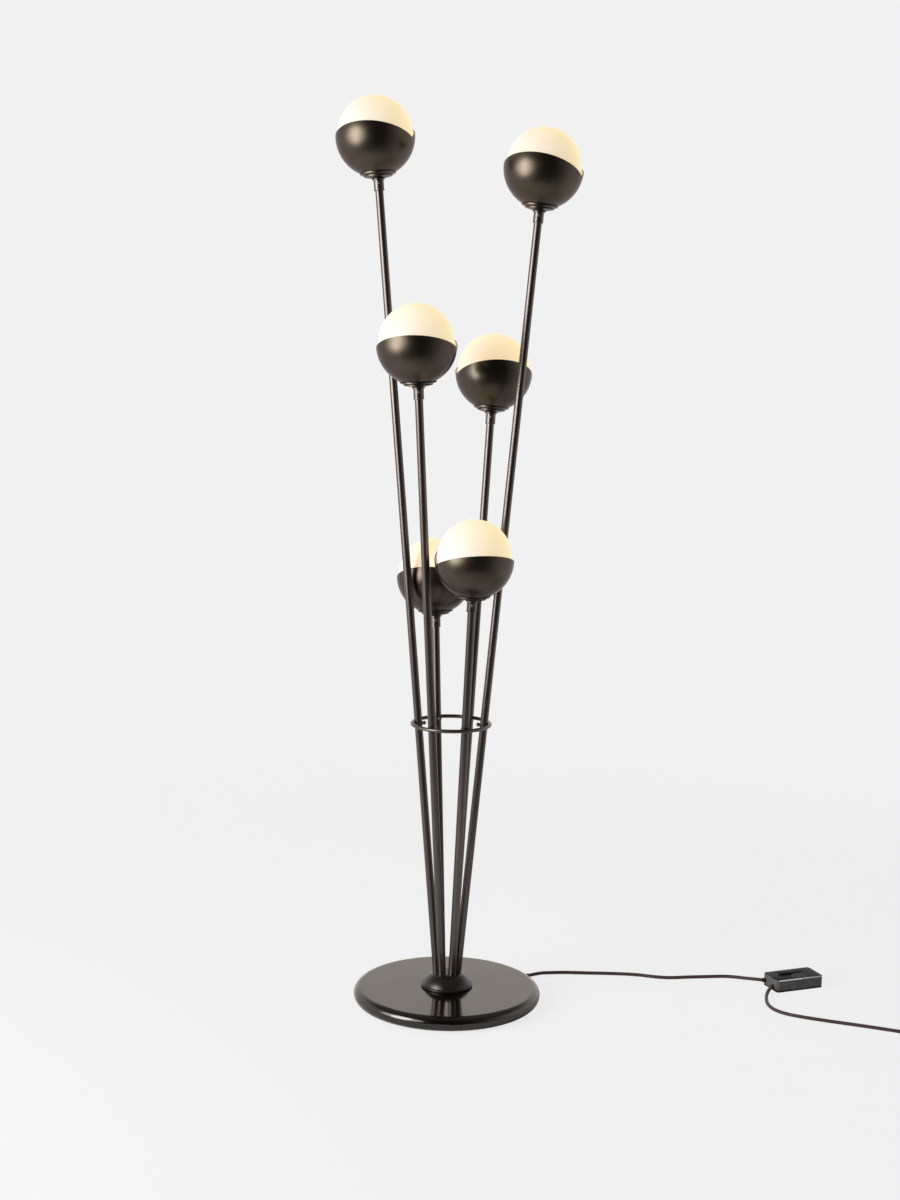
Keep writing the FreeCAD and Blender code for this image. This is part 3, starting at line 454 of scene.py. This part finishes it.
def fabricMaterial(name, look):
    # a braid's colour, thread by thread, from the tube's own map, with painted shade darkening the gaps
    # between threads
    material = mottledMaterial(name, look)
    tree = material.node_tree
    shader = tree.nodes["Principled BSDF"]
    spot = tree.nodes.new("ShaderNodeTexCoord")
    heights = []
    for tilt in (look["tilt"], -look["tilt"]):
        turned = tree.nodes.new("ShaderNodeMapping")
        turned.inputs["Rotation"].default_value = (0, 0, math.radians(tilt))
        tree.links.new(spot.outputs["UV"], turned.inputs["Vector"])
        threads = tree.nodes.new("ShaderNodeTexWave")
        threads.inputs["Scale"].default_value = look["threads"]
        threads.inputs["Distortion"].default_value = look["unevenness"]
        tree.links.new(turned.outputs["Vector"], threads.inputs["Vector"])
        heights.append(threads.outputs["Fac"])
    woven = reckoned(tree, "MAXIMUM", *heights)
    relief = shader.inputs["Normal"].links[0].from_node
    relief.inputs["Distance"].default_value = look["threadRelief"]
    tree.links.new(woven, relief.inputs["Height"])
    # painted shade: the colour darkens where the threads sink into the gaps between them
    gapShade = tree.nodes.new("ShaderNodeMapRange")
    gapShade.inputs["To Min"].default_value = look["paintedGapShade"]
    tree.links.new(woven, gapShade.inputs["Value"])
    shade = tree.nodes.new("ShaderNodeMix")
    shade.data_type = "RGBA"
    shade.blend_type = "MULTIPLY"
    shade.inputs["Factor"].default_value = 1.0
    tree.links.new(shader.inputs["Base Color"].links[0].from_socket, shade.inputs["A"])
    tree.links.new(gapShade.outputs["Result"], shade.inputs["B"])
    tree.links.new(shade.outputs["Result"], shader.inputs["Base Color"])
    return material


cordFabric = fabricMaterial("cordFabric", {
    "dark": (0.036, 0.014, 0.014), "light": (0.072, 0.026, 0.025), "mottle": 300.0,
    "roughness": (0.62, 0.8), "grain": 2400.0, "relief": 0.00004,
    "tilt": 45.0, "threads": 2.2, "unevenness": 0.6, "threadRelief": 0.00012, "paintedGapShade": 0.45,
    "sockets": {"Sheen Weight": 0.3, "Sheen Roughness": 0.4},
})
lampLead, lampLine = braidedTube("cordToDimmer", smoothLine("lampLine", toDimmer), cordFabric, "stand")
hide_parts("cord_to_dimmer")
plugLead, plugLine = braidedTube("cordToPlug", smoothLine("plugLine", toPlug), cordFabric, "stand")
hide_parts("cord_to_plug", "cord_coil")
print("cords laid")


# cups: thin spun metal, the rim cut straight across by a V that leaves two petals

cup = {
    "radius": 0.0620,
    "wall": 0.0012,
    "petalRise": 0.0173,
    "notchDrop": 0.0080,
    "holeRadius": 0.0053,
    "rimRounding": 0.00035,
    "lining": 0.00016,  # a pale shell inside, painted light of the globe on the cup's inner face, so that the metal shows as a thin edge line
    "liningGap": 0.00002,
    "azimuths": 192,
    "rows": 26,
}


def rimAngle(radius, azimuth):
    # how far round from the bottom the V cut meets a ball of this radius
    reach = math.sqrt(cup["radius"] ** 2 - cup["petalRise"] ** 2)
    slope = (cup["petalRise"] + cup["notchDrop"]) / reach * abs(math.sin(azimuth))
    return math.atan(slope) + math.acos(cup["notchDrop"] / (radius * math.hypot(1, slope)))


def cupMesh(inner, outer):
    width = cup["azimuths"]
    columns = []
    for step in range(width):
        azimuth = 2 * math.pi * step / width
        column = []
        for radius, downwards in ((outer, False), (inner, True)):
            first = math.asin(cup["holeRadius"] / radius)
            last = rimAngle(radius, azimuth) - cup["rimRounding"] / radius
            rows = [first + (last - first) * row / cup["rows"] for row in range(cup["rows"] + 1)]
            side = [(radius, angle) for angle in rows]
            column += list(reversed(side)) if downwards else side
            if not downwards:
                # the rim's own rounded edge
                for share in (0.2, 0.5, 0.8):
                    between = outer * (1 - share) + inner * share
                    column.append((between, rimAngle(between, azimuth)))
        columns.append([(r * math.sin(a), azimuth, -r * math.cos(a), a) for r, a in column])
    points, uv = [], []
    for column in columns:
        for reach, azimuth, height, angle in column:
            points.append(Vector((reach * math.cos(azimuth), reach * math.sin(azimuth), height)))
            uv.append((azimuth / (2 * math.pi), angle / math.pi))
    tall = len(columns[0])
    faces = []
    for step in range(width):
        here, there = step * tall, (step + 1) % width * tall
        for row in range(tall):
            above = (row + 1) % tall
            faces.append((here + row, there + row, there + above, here + above))
    return points, faces, uv


# globes: blown opal glass, open at the bottom with a rolled mouth

globe = {
    "radius": 0.05799,
    "wall": 0.0030,
    "rise": 0.0045,
    "mouth": 0.0200,
    "azimuths": 128,
    "rows": 56,
}


def globeMesh():
    width, top = globe["azimuths"], globe["rows"]
    points, faces, sides, poles = [], [], [], []
    middle = Vector((0, 0, globe["rise"]))
    outside, inside = globe["radius"], globe["radius"] - globe["wall"]
    for radius, mouth in ((outside, globe["mouth"]), (inside, globe["mouth"] + globe["wall"] / 4)):
        first = math.asin(mouth / radius)
        sides.append([(radius, first + (math.pi - first) * row / top) for row in range(top)])
    rows = sides[0] + sides[1][::-1]
    for radius, angle in rows:
        for step in range(width):
            azimuth = 2 * math.pi * step / width
            points.append(middle + Vector((radius * math.sin(angle) * math.cos(azimuth),
                                           radius * math.sin(angle) * math.sin(azimuth),
                                           -radius * math.cos(angle))))
    for radius in (outside, inside):
        poles.append(len(points))
        points.append(middle + Vector((0, 0, radius)))
    count = len(rows)
    for row in range(count):
        if row == top - 1:
            continue  # the poles close here
        following = (row + 1) % count
        for step in range(width):
            along = (step + 1) % width
            faces.append((row * width + step, row * width + along,
                          following * width + along, following * width + step))
    for step in range(width):
        along = (step + 1) % width
        faces.append(((top - 1) * width + step, (top - 1) * width + along, poles[0]))
        faces.append((top * width + along, top * width + step, poles[1]))
    return points, faces


def lathe(profile, sides):
    # a closed outline of (radius, height) turned about Z
    points, faces = [], []
    for radius, height in profile:
        points += [around(radius, 360 * side / sides, height) for side in range(sides)]
    for row in range(len(profile)):
        here, there = row * sides, (row + 1) % len(profile) * sides
        for side in range(sides):
            along = (side + 1) % sides
            faces.append((here + side, here + along, there + along, there + side))
    return points, faces


collarScrew = {
    "radius": 0.0015,
    "proud": 0.0005,
    "sunk": 0.0010,
    "hole": 0.00001,  # its end faces close on a point
    "sides": 24,
    "below": 0.0716,
    "collar": 0.00795,
}


def screwMesh():
    # a small set screw, its axis along Y
    radius, proud, sunk, hole = (collarScrew[size] for size in ("radius", "proud", "sunk", "hole"))
    profile = [(hole, -sunk), (radius, -sunk), (radius, proud * 0.6), (radius * 0.85, proud), (hole, proud)]
    points, faces = lathe(profile, collarScrew["sides"])
    return [Vector((p.x, p.z, p.y)) for p in points], [tuple(reversed(f)) for f in faces]


insideRadius = cup["radius"] - cup["wall"]
cupPoints, cupFaces, cupUv = cupMesh(insideRadius, cup["radius"])
liningPoints, liningFaces, liningUv = cupMesh(insideRadius - cup["lining"], insideRadius - cup["liningGap"])
globePoints, globeFaces = globeMesh()
screwPoints, screwFaces = screwMesh()
for head in heads:
    place = headFrame(head)
    body = "head_" + head
    made = piece("cup." + head, [place @ p for p in cupPoints], cupFaces, bronze, body, cupUv)
    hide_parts("cup_" + head)
    # the pale inner shell carries the painted light of the globe
    piece("paintedGlowLining." + head, [place @ p for p in liningPoints], liningFaces, paintedGlowLining, body,
          liningUv)
    # painted shade: the back globes take the yellower copy of the glass
    glass = shadedBackGlass if head.endswith("back") else opalGlass
    made = piece("globe." + head, [place @ p for p in globePoints], globeFaces, glass,
                 "globe_" + head)
    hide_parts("globe_" + head)
    # the set screw looks forwards, whichever way the petals do
    up = place.to_3x3() @ Vector((0, 0, 1))
    forwards = Vector((0, -1, 0))
    forwards = (forwards - up * forwards.dot(up)).normalized()
    seat = Matrix((forwards.cross(up), forwards, up)).transposed().to_4x4()
    seat.translation = (place @ Vector((0, 0, -collarScrew["below"]))) + forwards * collarScrew["collar"]
    piece("collarScrew." + head, [seat @ p for p in screwPoints], screwFaces, steelScrews, body)
    dress(bronze, "cup_seat_" + head)
    dress(stemBronze, "collar_" + head, "stem_" + head)
    dress(porcelain, "lampholder_" + head)
    dress(bulbGlass, "bulb_" + head)
print("heads made")


# the rest keeps its solid shape and gets its finish

dress(baseEnamel, "base_disc")
dress(felt, "base_pad")
dress(hubBronze, "hub")
dress(stemBronze, "tie_ring", "tie_ring_screws")
dress(steelScrews, "hub_screws")
dress(porcelain, "terminal_block")
dress(wireSheath, "inner_wires")
dress(blackRubber, "cord_bush", "plug_body")
dress(brass, "plug_blades")
dress(blackPlastic, "dimmer_base")
dress(circuitBoard, "dimmer_board")
print("finishes given")


# dimmer: the solids' own shapes with their hard edges softened

dimmer = {
    "middle": (0.587, 0.095, 0.0),
    "turn": 21.0,
    "length": 0.088,
    "width": 0.046,
    "height": 0.0205,
    "corner": 0.003,
    "coverEdge": 0.0004,
    "sliderEdge": 0.0003,
    "hardFrom": 38.0,  # degrees
    "sideArea": 0.00004,  # upright faces larger than this get the paler copy with painted light
    "highlightWide": 0.0017,  # the painted highlight along the front top edge
    "highlightDeep": 0.00102,
    "highlightProud": 0.00006,
    "gripStart": 0.0040,
    "gripWidth": 0.0017,
    "gripPitch": 0.0039,
    "gripCount": 10,
}


def softened(name, node, width, body):
    mesh = nodes[node].data.copy()
    mesh.transform(nodes[node].matrix_world)
    shape = bmesh.new()
    shape.from_mesh(mesh)
    bmesh.ops.remove_doubles(shape, verts=shape.verts, dist=0.000002)
    bmesh.ops.dissolve_limit(shape, angle_limit=math.radians(0.5), verts=shape.verts, edges=shape.edges)
    hardFrom = math.radians(dimmer["hardFrom"])
    hard = [edge for edge in shape.edges if edge.is_manifold and edge.calc_face_angle() > hardFrom]
    bmesh.ops.bevel(shape, geom=hard, offset=width, segments=2, profile=0.5, affect="EDGES",
                    clamp_overlap=True)
    points = [vertex.co.copy() for vertex in shape.verts]
    faces = [[vertex.index for vertex in face.verts] for face in shape.faces]
    shape.free()
    bpy.data.meshes.remove(mesh)
    made = piece(name, points, faces, blackPlastic, body)
    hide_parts(node)
    return made


cover = softened("dimmerCover", "dimmer_cover", dimmer["coverEdge"], "stand")
# painted light: the cover's large upright sides take the paler copy of the plastic
cover.data.materials.append(paintedLitSides)
for face in cover.data.polygons:
    if abs(face.normal.z) < 0.5 and face.area > dimmer["sideArea"]:
        face.material_index = 1
softened("dimmerSlider", "dimmer_slider", dimmer["sliderEdge"], "dimmer_slider")

# the painted highlight along the front top edge stops at each finger grip
highlightEnds = [(-dimmer["length"] / 2 + dimmer["corner"], dimmer["gripStart"])]
for grip in range(dimmer["gripCount"]):
    start = dimmer["gripStart"] + dimmer["gripWidth"] + grip * dimmer["gripPitch"]
    end = start + dimmer["gripPitch"] - dimmer["gripWidth"]
    if grip == dimmer["gripCount"] - 1:
        end = dimmer["length"] / 2 - dimmer["corner"]
    if end > start:
        highlightEnds.append((start, end))
dimmerPlace = Matrix.Translation(dimmer["middle"]) @ Matrix.Rotation(math.radians(dimmer["turn"]), 4, "Z")
front, top = -dimmer["width"] / 2 - dimmer["highlightProud"], dimmer["height"] + dimmer["highlightProud"]
back, bottom = front + dimmer["highlightDeep"], top - dimmer["highlightWide"]
section = [(front, bottom), (front, top), (back, top), (back, bottom)]
highlightPoints, highlightFaces = [], []
for ends in highlightEnds:
    a = len(highlightPoints)
    highlightPoints += [dimmerPlace @ Vector((along, across, up)) for along in ends for across, up in section]
    highlightFaces += [(a + 3, a + 2, a + 1, a), (a + 4, a + 5, a + 6, a + 7)]
    for side in range(4):
        following = (side + 1) % 4
        highlightFaces.append((a + following, a + 4 + following, a + 4 + side, a + side))
# the strips of painted highlight
piece("dimmerPaintedHighlight", highlightPoints, highlightFaces, paintedHighlight, "stand")
print("dimmer softened")


# studio: a pale floor that fades into the same pale surroundings

studio = {
    "paper": 0.88,  # how bright the background shows
    "ambient": 0.52,  # the room's part in the light on the object
    "frontGloss": 0.05,  # what metal mirrors from the room's darker front
    "backGloss": 0.98,
    "frontToBack": (-0.95, 0.10),
    "ceilingGloss": 0.28,  # and from its dark ceiling, against the back
    "wallToCeiling": (0.42, 0.72),
    "floorColour": (0.92, 0.92, 0.92),
    "floorPaper": 0.892,
    "seenPaper": 0.88,  # the part of the seen floor that is even paper, and not its shading
    "floorSize": 12.0,
    "fade": (1.0, 2.3),  # how far out the seen floor gives way to the surroundings
    "mirroredFade": (0.40, 1.9),  # and the floor that metal mirrors
    "lights": {
        "keyCore": {"place": (-2.20, -1.42, 1.25), "aim": (0, 0, 0.9), "size": (1.3, 1.9),
                    "power": 50.0, "diffuse": 0.76},
        "keyWide": {"place": (-2.24, -1.45, 1.27), "aim": (0, 0, 0.9), "size": (3.0, 2.0),
                    "power": 66.0, "diffuse": 0.25},
    },
}

world = bpy.data.worlds.new("studio")
world.use_nodes = True
scene.world = world
tree = world.node_tree
tree.nodes.clear()
# the room is darker towards the front and above, and the paper behind shows its one brightness
way = tree.nodes.new("ShaderNodeSeparateXYZ")
tree.links.new(tree.nodes.new("ShaderNodeTexCoord").outputs["Generated"], way.inputs["Vector"])
room = graded(tree, way.outputs["Y"], *studio["frontToBack"], studio["frontGloss"], studio["backGloss"])
ceiling = graded(tree, way.outputs["Z"], *studio["wallToCeiling"], 1.0, studio["ceilingGloss"])
path = tree.nodes.new("ShaderNodeLightPath")
plain = tree.nodes.new("ShaderNodeMix")
tree.links.new(path.outputs["Is Camera Ray"], plain.inputs["Factor"])
tree.links.new(reckoned(tree, "MULTIPLY", room, ceiling), plain.inputs["A"])
plain.inputs["B"].default_value = studio["paper"]
ambient, backdrop = tree.nodes.new("ShaderNodeBackground"), tree.nodes.new("ShaderNodeBackground")
for shade, strength in ((ambient, reckoned(tree, "MULTIPLY", room, studio["ambient"])),
                        (backdrop, plain.outputs["Result"])):
    shade.inputs["Color"].default_value = (1, 1, 1, 1)
    tree.links.new(strength, shade.inputs["Strength"])
# light on the object is the ambient, and what the camera, gloss and glass see is the backdrop
seen = reckoned(tree, "MAXIMUM", path.outputs["Is Camera Ray"], path.outputs["Is Glossy Ray"])
seen = reckoned(tree, "MAXIMUM", seen, path.outputs["Is Transmission Ray"])
either = tree.nodes.new("ShaderNodeMixShader")
tree.links.new(seen, either.inputs["Fac"])
tree.links.new(ambient.outputs["Background"], either.inputs[1])
tree.links.new(backdrop.outputs["Background"], either.inputs[2])
tree.links.new(either.outputs["Shader"], tree.nodes.new("ShaderNodeOutputWorld").inputs["Surface"])

half = studio["floorSize"] / 2
floorMesh = bpy.data.meshes.new("floor")
corners = [(-half, -half, 0), (half, -half, 0), (half, half, 0), (-half, half, 0)]
floorMesh.from_pydata(corners, [], [(0, 1, 2, 3)])
floor = bpy.data.objects.new("floor", floorMesh)
scene.collection.objects.link(floor)
paper = bpy.data.materials.new("floorPaper")
paper.use_nodes = True
tree = paper.node_tree
matt = tree.nodes["Principled BSDF"]
matt.inputs["Base Color"].default_value = (*studio["floorColour"], 1)
matt.inputs["Roughness"].default_value = 0.9
matt.inputs["Specular IOR Level"].default_value = 0.0
even = tree.nodes.new("ShaderNodeEmission")
even.inputs["Strength"].default_value = studio["floorPaper"]
path = tree.nodes.new("ShaderNodeLightPath")
whitened = tree.nodes.new("ShaderNodeMixShader")
share = reckoned(tree, "MULTIPLY", path.outputs["Is Camera Ray"], studio["seenPaper"])
tree.links.new(share, whitened.inputs["Fac"])
tree.links.new(matt.outputs["BSDF"], whitened.inputs[1])
tree.links.new(even.outputs["Emission"], whitened.inputs[2])
# the floor turns clear with its distance, and nearer by for what metal and glass mirror
distance = tree.nodes.new("ShaderNodeVectorMath")
distance.operation = "LENGTH"
tree.links.new(tree.nodes.new("ShaderNodeTexCoord").outputs["Object"], distance.inputs[0])
fade = graded(tree, distance.outputs["Value"], *studio["fade"])
mirrored = reckoned(tree, "MAXIMUM", path.outputs["Is Glossy Ray"], path.outputs["Is Transmission Ray"])
for socket, near, far in zip(("From Min", "From Max"), studio["mirroredFade"], studio["fade"]):
    reach = tree.nodes.new("ShaderNodeMix")
    reach.inputs["A"].default_value, reach.inputs["B"].default_value = far, near
    tree.links.new(mirrored, reach.inputs["Factor"])
    tree.links.new(reach.outputs["Result"], fade.node.inputs[socket])
blend = tree.nodes.new("ShaderNodeMixShader")
tree.links.new(fade, blend.inputs["Fac"])
tree.links.new(whitened.outputs["Shader"], blend.inputs[1])
tree.links.new(tree.nodes.new("ShaderNodeBsdfTransparent").outputs["BSDF"], blend.inputs[2])
tree.links.new(blend.outputs["Shader"], tree.nodes["Material Output"].inputs["Surface"])
floorMesh.materials.append(paper)

for name, light in studio["lights"].items():
    lamp = bpy.data.lights.new(name, "AREA")
    lamp.shape = "ELLIPSE"
    lamp.size, lamp.size_y = light["size"]
    lamp.energy = light["power"]
    lamp.diffuse_factor = light["diffuse"]
    stand = bpy.data.objects.new(name, lamp)
    stand.location = light["place"]
    stand.rotation_mode = "QUATERNION"
    stand.rotation_quaternion = (Vector(light["aim"]) - Vector(light["place"])).to_track_quat("-Z", "Y")
    scene.collection.objects.link(stand)
print("studio lit")
